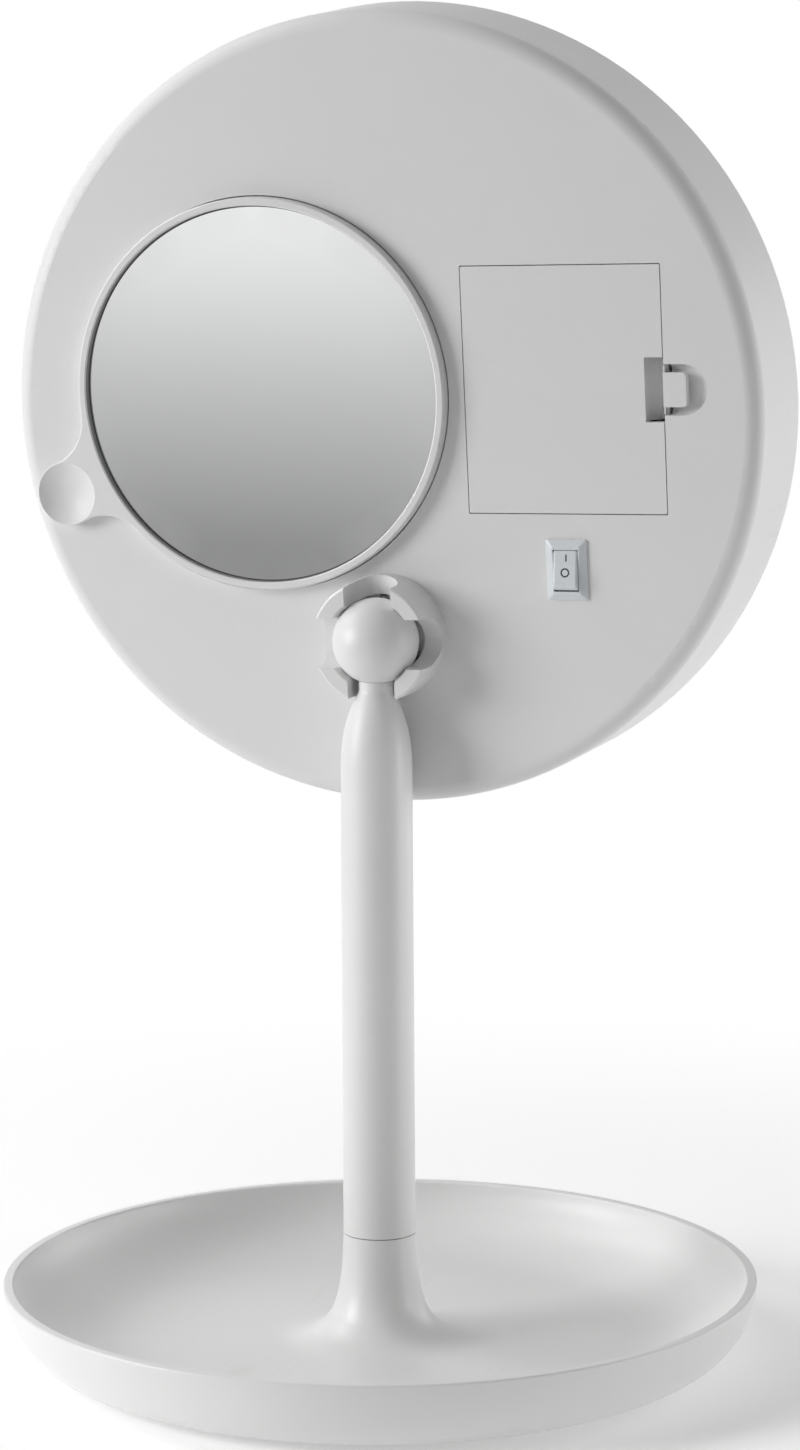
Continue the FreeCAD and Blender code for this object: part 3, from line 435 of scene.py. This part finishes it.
def circuitBoard():
    # white solder mask over copper tracks that run round the ring
    made, shade = material("circuitBoard")
    across = shade.apart(head @ Vector((0, headPlace["middleY"], 0)))
    outer, inner = ((across > start) * (across < end)
                    for start, end in (boardFacts["outerTrack"], boardFacts["innerTrack"]))
    track = outer + inner
    weave = shade.noise(1600.0, 2.0)
    holes = 1 - shade.soften(shade.cells(260.0)[0], 0.10, 0.13)
    mask = shade.mix(weave, *boardFacts["mask"])
    mask = shade.mix(track.clamped() * 0.35, mask, boardFacts["track"])
    shade.finish(
        Base_Color=shade.mix(holes * 0.6, mask, boardFacts["hole"]),
        Roughness=0.34 + weave * 0.12,
        Normal=shade.bump(track * 0.7 + weave * 0.2 - holes, 0.3, 0.00004))
    return made


def ceramic():
    made, shade = material("chipBody")
    speck = shade.noise(2600.0, 3.0)
    shade.finish(
        Base_Color=shade.mix(speck, *tones["ceramic"]),
        Roughness=0.42 + speck * 0.16, Normal=shade.bump(speck, 0.1, 0.00003))
    return made


def phosphor():
    made, shade = material("chipWindow")
    grit = shade.noise(5200.0, 3.0, 0.7)
    shade.finish(
        Base_Color=shade.mix(grit, *tones["phosphor"]),
        Roughness=0.26 + grit * 0.2, Coat_Weight=0.3 + grit * 0.2, Normal=shade.bump(grit, 0.18, 0.00003))
    return made


def printedInk():
    # pad-printed marks: thin dark ink, worn a little
    made, shade = material("printedInk")
    worn = shade.soften(shade.noise(3600.0, 3.0, 0.6), 0.60, 0.74)
    shade.finish(
        Base_Color=shade.mix(worn * 0.35, *tones["ink"]),
        Roughness=0.40 + worn * 0.2, Normal=shade.bump(worn, 0.1, 0.00002))
    return made


finishes = {name: mouldedPlastic(name) for name in plastics}
finishes.update({name: workedMetal(name) for name in metals})
finishes["trayPlastic"] = trayPlastic()
finishes["mirrorGlass"] = mirrorGlass()
# the magnifier's ring and glass carry painted shade round the glass's edge
finishes["magnifierPlastic"] = mouldedPlastic("headPlastic", withRimShade=True)
finishes["magnifierGlass"] = mirrorGlass(withRimShade=True)
finishes["frostedPlastic"] = frostedPlastic()
finishes["weightPlate"] = weightPlate()
finishes["foamRubber"] = foamRubber()
finishes["circuitBoard"] = circuitBoard()
finishes["chipBody"] = ceramic()
finishes["chipWindow"] = phosphor()
finishes["printedInk"] = printedInk()
for number in range(3):
    finishes["cellCan" + str(number + 1)] = cellCan(number)

worn = {
    "trayPlastic": ["tray"],
    "standPlastic": ["stem", "ball_stud"],
    "headPlastic": ["rear_cover", "battery_door", "door_latch"],
    "magnifierPlastic": ["magnifier_frame"],
    "framePlastic": ["front_frame"],
    "socketPlastic": ["socket_collar", "socket_plate"],
    "innerPlastic": ["battery_box", "stem_plug"],
    "switchPlastic": ["switch_housing", "switch_rocker"],
    "mirrorGlass": ["main_mirror"],
    "magnifierGlass": ["magnifier_mirror"],
    "frostedPlastic": ["diffuser_ring"],
    "zincSteel": ["stem_screw", "stem_washer", "socket_screws", "chassis_screws", "magnifier_discs"],
    "springSteel": ["stud_clip", "contact_leaves"],
    "brass": ["stem_insert"],
    "nickel": ["cover_magnets", "contact_flats", "switch_terminals"],
    "weightPlate": ["base_weight"],
    "foamRubber": ["foot_pad"],
    "circuitBoard": ["led_board"],
    "chipBody": ["leds"],
    "cellCan1": ["cell_1"], "cellCan2": ["cell_2"], "cellCan3": ["cell_3"],
}
for finishName, pieces in worn.items():
    for node in pieces:
        nodes[node].data.materials.clear()
        nodes[node].data.materials.append(finishes[finishName])
print("finishes made:", len(finishes))


def newObject(name, mesh):
    made = bpy.data.objects.new(name, mesh)
    bpy.context.scene.collection.objects.link(made)
    return made


ringInputs = [("Count", "NodeSocketInt"), ("Circle", "NodeSocketFloat"), ("Sides", "NodeSocketInt"),
              ("Radius", "NodeSocketFloat"), ("Height", "NodeSocketFloat"), ("Lift", "NodeSocketFloat"),
              ("Corner", "NodeSocketFloat"), ("Step", "NodeSocketFloat"), ("Finish", "NodeSocketMaterial")]


def ringTree():
    # equal parts set round a circle, each turned to face outwards
    group = bpy.data.node_groups.new("partsRoundCircle", "GeometryNodeTree")
    for name, kind in ringInputs:
        group.interface.new_socket(name=name, in_out="INPUT", socket_type=kind)
    group.interface.new_socket(name="Geometry", in_out="OUTPUT", socket_type="NodeSocketGeometry")
    tree = Tree(group)
    given = dict(zip([name for name, kind in ringInputs], tree.node("NodeGroupInput")))
    circle = tree.node("GeometryNodeMeshCircle", {"fill_type": "NONE"}, [given["Count"], given["Circle"]])[0]
    angle = tree.node("ShaderNodeCombineXYZ", {}, {"Z": given["Step"]})[0]
    circle = tree.node("GeometryNodeTransform", {}, {"Geometry": circle, "Rotation": angle})[0]
    part = tree.node("GeometryNodeMeshCylinder", {"fill_type": "NGON"},
                     {"Vertices": given["Sides"], "Radius": given["Radius"], "Depth": given["Height"]})[0]
    lift = tree.node("ShaderNodeCombineXYZ", {}, {"Z": given["Lift"]})[0]
    corner = tree.node("ShaderNodeCombineXYZ", {}, {"Z": given["Corner"]})[0]
    values = {"Geometry": part, "Translation": lift, "Rotation": corner}
    part = tree.node("GeometryNodeTransform", {}, values)[0]
    outward = tree.node("GeometryNodeInputPosition")[0]
    facing = tree.node("FunctionNodeAlignRotationToVector", {"axis": "X"}, {"Vector": outward})[0]
    placed = tree.node("GeometryNodeInstanceOnPoints", {},
                       {"Points": circle, "Instance": part, "Rotation": facing})[0]
    plain = tree.node("GeometryNodeRealizeInstances", {}, {"Geometry": placed})[0]
    dressed = tree.node("GeometryNodeSetMaterial", {}, {"Geometry": plain, "Material": given["Finish"]})[0]
    tree.node("NodeGroupOutput", {}, [dressed])
    return group


def partsRoundCircle(name, group, facts, finish, place):
    # runs the tree once and keeps its result as a plain mesh, at the origin
    made = newObject(name, bpy.data.meshes.new(name))
    modifier = made.modifiers.new("parts", "NODES")
    modifier.node_group = group
    for item in group.interface.items_tree:
        if item.in_out == "INPUT":
            modifier[item.identifier] = finish if item.name == "Finish" else facts[item.name]
    made.update_tag()
    graph = bpy.context.evaluated_depsgraph_get()
    mesh = bpy.data.meshes.new_from_object(made.evaluated_get(graph))
    made.modifiers.remove(modifier)
    mesh.transform(place)
    made.data = mesh
    return made


lightRing = {
    # the chips' ring in the head's frame, in metres, and what each chip is made of
    "boardFace": -0.0218,
    "parts": {
        "chipBodies": {"finish": "chipBody", "Sides": 4, "Radius": 0.00225, "Height": 0.00062,
                       "Corner": math.pi / 4, "Lift": -0.00035},
        "chipWindows": {"finish": "chipWindow", "Sides": 24, "Radius": 0.00125, "Height": 0.0001,
                        "Corner": 0.0, "Lift": -0.00070}},
    "shared": {"Count": 24, "Circle": 0.0883, "Step": math.pi / 24}}


def makeLightRing():
    group = ringTree()
    place = head @ Matrix.Translation((0, headPlace["middleY"], lightRing["boardFace"]))
    for name, part in lightRing["parts"].items():
        facts = {**lightRing["shared"], **part}
        made = partsRoundCircle(name, group, facts, finishes[part["finish"]], place)
        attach(made, "head")
        if name == "chipBodies":
            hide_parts("leds")


makeLightRing()
print("light ring set out")


switchMarks = {
    # on the rocker's face, in millimetres from its pin's middle
    "pin": (47.9, 17.1, 0.2), "face": 2.0, "swing": 9.0, "depth": 0.06, "proud": 0.02,
    "bar": {"middle": (0.27, 2.85), "width": 0.36, "height": 1.75},
    "ring": {"middle": (0.04, -0.74), "outer": 1.13, "inner": 0.77, "steps": 48}}


def rockerMatrix():
    x, y, z = switchMarks["pin"]
    tipped = Matrix.Rotation(-math.radians(switchMarks["swing"]), 4, "X")
    return (head @ Matrix.Translation((x / 1000, y / 1000, z / 1000)) @ tipped
            @ Matrix.Translation((0, 0, switchMarks["face"] / 1000)) @ Matrix.Scale(0.001, 4))


def printedMark(name, outline, hole):
    # a flat shape with a little body, half sunk into the rocker's face
    mesh = bpy.data.meshes.new(name)
    shape = bmesh.new()
    outer = [shape.verts.new((x, y, 0)) for x, y in outline]
    if hole:
        inner = [shape.verts.new((x, y, 0)) for x, y in hole]
        count = len(outline)
        faces = [shape.faces.new((outer[i], outer[(i + 1) % count], inner[(i + 1) % count], inner[i]))
                 for i in range(count)]
    else:
        faces = [shape.faces.new(outer)]
    grown = bmesh.ops.extrude_face_region(shape, geom=faces)
    lifted = [item for item in grown["geom"] if isinstance(item, bmesh.types.BMVert)]
    bmesh.ops.translate(shape, verts=lifted, vec=(0, 0, switchMarks["depth"]))
    bmesh.ops.translate(shape, verts=shape.verts, vec=(0, 0, switchMarks["proud"] - switchMarks["depth"]))
    bmesh.ops.recalc_face_normals(shape, faces=shape.faces)
    shape.to_mesh(mesh)
    shape.free()
    mesh.transform(rockerMatrix())
    mesh.materials.append(finishes["printedInk"])
    made = newObject(name, mesh)
    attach(made, "rocker")
    return made


def makeSwitchMarks():
    bar = switchMarks["bar"]
    x, y = bar["middle"]
    wide, high = bar["width"] / 2, bar["height"] / 2
    cut = wide * 0.4
    corners = [(wide, high - cut), (wide - cut, high), (cut - wide, high), (-wide, high - cut),
               (-wide, cut - high), (cut - wide, -high), (wide - cut, -high), (wide, cut - high)]
    printedMark("switchMarkOn", [(x + u, y + v) for u, v in corners], None)
    ring = switchMarks["ring"]
    x, y = ring["middle"]
    turns = [2 * math.pi * step / ring["steps"] for step in range(ring["steps"])]
    rims = [[(x + radius * math.cos(turn), y + radius * math.sin(turn)) for turn in turns]
            for radius in (ring["outer"], ring["inner"])]
    printedMark("switchMarkOff", rims[0], rims[1])


makeSwitchMarks()
print("switch marks printed")


studio = {
    "floorRadius": 0.6, "floorDrop": 0.0002, "shadowFrom": 0.16, "shadowTo": 0.42,
    # the paper's white, how much brighter it looks than it lights, and its share of even glow
    "paper": 0.92, "paperGain": 1.4, "glowShare": 0.22, "glow": 1.5,
    # soft light from straight down to straight up: (height of the ray, tone)
    "ambient": [(-1.0, 0.20), (-0.01, 0.20), (0.02, 0.04), (0.25, 0.07), (0.42, 0.13), (0.6, 0.25),
                (0.72, 0.43), (1.0, 0.43)],
    # the same as a mirror sees it
    "sweep": [(-1.0, 1.0), (-0.235, 1.0), (-0.211, 0.857), (-0.168, 0.553), (-0.123, 0.28), (-0.02, 0.24),
              (0.16, 0.46), (0.42, 0.80), (1.0, 0.80)],
    "target": (0, 0, 0.2),
    "lamps": {
        "keyLeft": {"place": (1.145, 0.787, 0.5), "size": 0.7, "power": 12.9},
        "highLeft": {"place": (1.050, 0.0, 1.126), "size": 0.7, "power": 5.0},
        "rightFront": {"place": (-0.9, -1.05, 0.24), "size": 0.7, "power": 4.3},
        "right": {"place": (-1.30, -0.30, 0.14), "size": 0.5, "power": 4.2},
        "frontLeft": {"place": (0.824, -1.098, 0.475), "size": 0.7, "power": 1.2}}}


def seenDirectly(shade):
    # 1 for rays from the camera, in a mirror and through glass, 0 for light on its way
    paths = shade.node("ShaderNodeLightPath")
    return paths[0], (paths[3] + paths[6]).clamped()


def makeFloor():
    mesh = bpy.data.meshes.new("floor")
    shape = bmesh.new()
    bmesh.ops.create_circle(shape, cap_ends=True, segments=128, radius=studio["floorRadius"])
    bmesh.ops.translate(shape, verts=shape.verts, vec=(0, 0, -studio["floorDrop"]))
    shape.to_mesh(mesh)
    shape.free()
    floor = newObject("floor", mesh)
    made, shade = material("floorPaper")
    camera, mirrored = seenDirectly(shade)
    seen = (camera + mirrored).clamped()
    fibre = shade.noise(900.0, 3.0)
    paper = shade.mix(fibre, (studio["paper"],) * 3, (studio["paper"] - 0.02,) * 3)
    bright = shade.mix(1.0, paper, (studio["paperGain"],) * 3, "MULTIPLY")
    lit = shade.node("ShaderNodeBsdfDiffuse", {}, {"Color": shade.mix(seen, paper, bright)})[0]
    glow = shade.node("ShaderNodeEmission", {}, {"Color": (1, 1, 1), "Strength": studio["glow"]})[0]
    paperLit = shade.node("ShaderNodeMixShader", {}, [(1 - seen) * studio["glowShare"], lit, glow])[0]
    white = shade.node("ShaderNodeEmission", {}, {"Color": (1, 1, 1), "Strength": 1.0})[0]
    far = shade.soften(shade.apart((0, 0, 0)), studio["shadowFrom"], studio["shadowTo"]) * seen
    top = shade.node("ShaderNodeMixShader", {}, [far, paperLit, white])[0]
    under = shade.node("ShaderNodeNewGeometry")[6]
    clear = shade.node("ShaderNodeBsdfTransparent")[0]
    both = shade.node("ShaderNodeMixShader", {}, [under, top, clear])[0]
    shade.node("ShaderNodeOutputMaterial", {}, {"Surface": both})
    mesh.materials.append(made)


def makeWorld():
    world = bpy.data.worlds.new("studio")
    bpy.context.scene.world = world
    shade = Shader(world)
    camera, mirrored = seenDirectly(shade)
    direction = shade.node("ShaderNodeTexCoord")[0]
    height = shade.node("ShaderNodeSeparateXYZ", {}, [direction])[2]
    ambient, sweep = (shade.ramp(height * 0.5 + 0.5, [((at + 1) / 2, tone) for at, tone in studio[name]])
                      for name in ("ambient", "sweep"))
    softLight = shade.mix(mirrored, ambient, sweep)
    tone = shade.mix(camera, softLight, (1, 1, 1))
    glow = shade.node("ShaderNodeBackground", {}, {"Color": tone, "Strength": 1.0})[0]
    shade.node("ShaderNodeOutputWorld", {}, {"Surface": glow})


def softLamp(name, facts):
    data = bpy.data.lights.new(name, "AREA")
    data.shape = "SQUARE"
    data.size = facts["size"]
    data.energy = facts["power"]
    lamp = newObject(name, data)
    lamp.location = facts["place"]
    aim = Vector(studio["target"]) - Vector(facts["place"])
    lamp.rotation_euler = aim.to_track_quat("-Z", "Y").to_euler()


makeFloor()
makeWorld()
for lampName, lampFacts in studio["lamps"].items():
    softLamp(lampName, lampFacts)
bpy.context.scene.view_settings.view_transform = "Standard"
print("studio set:", len(studio["lamps"]), "lamps")
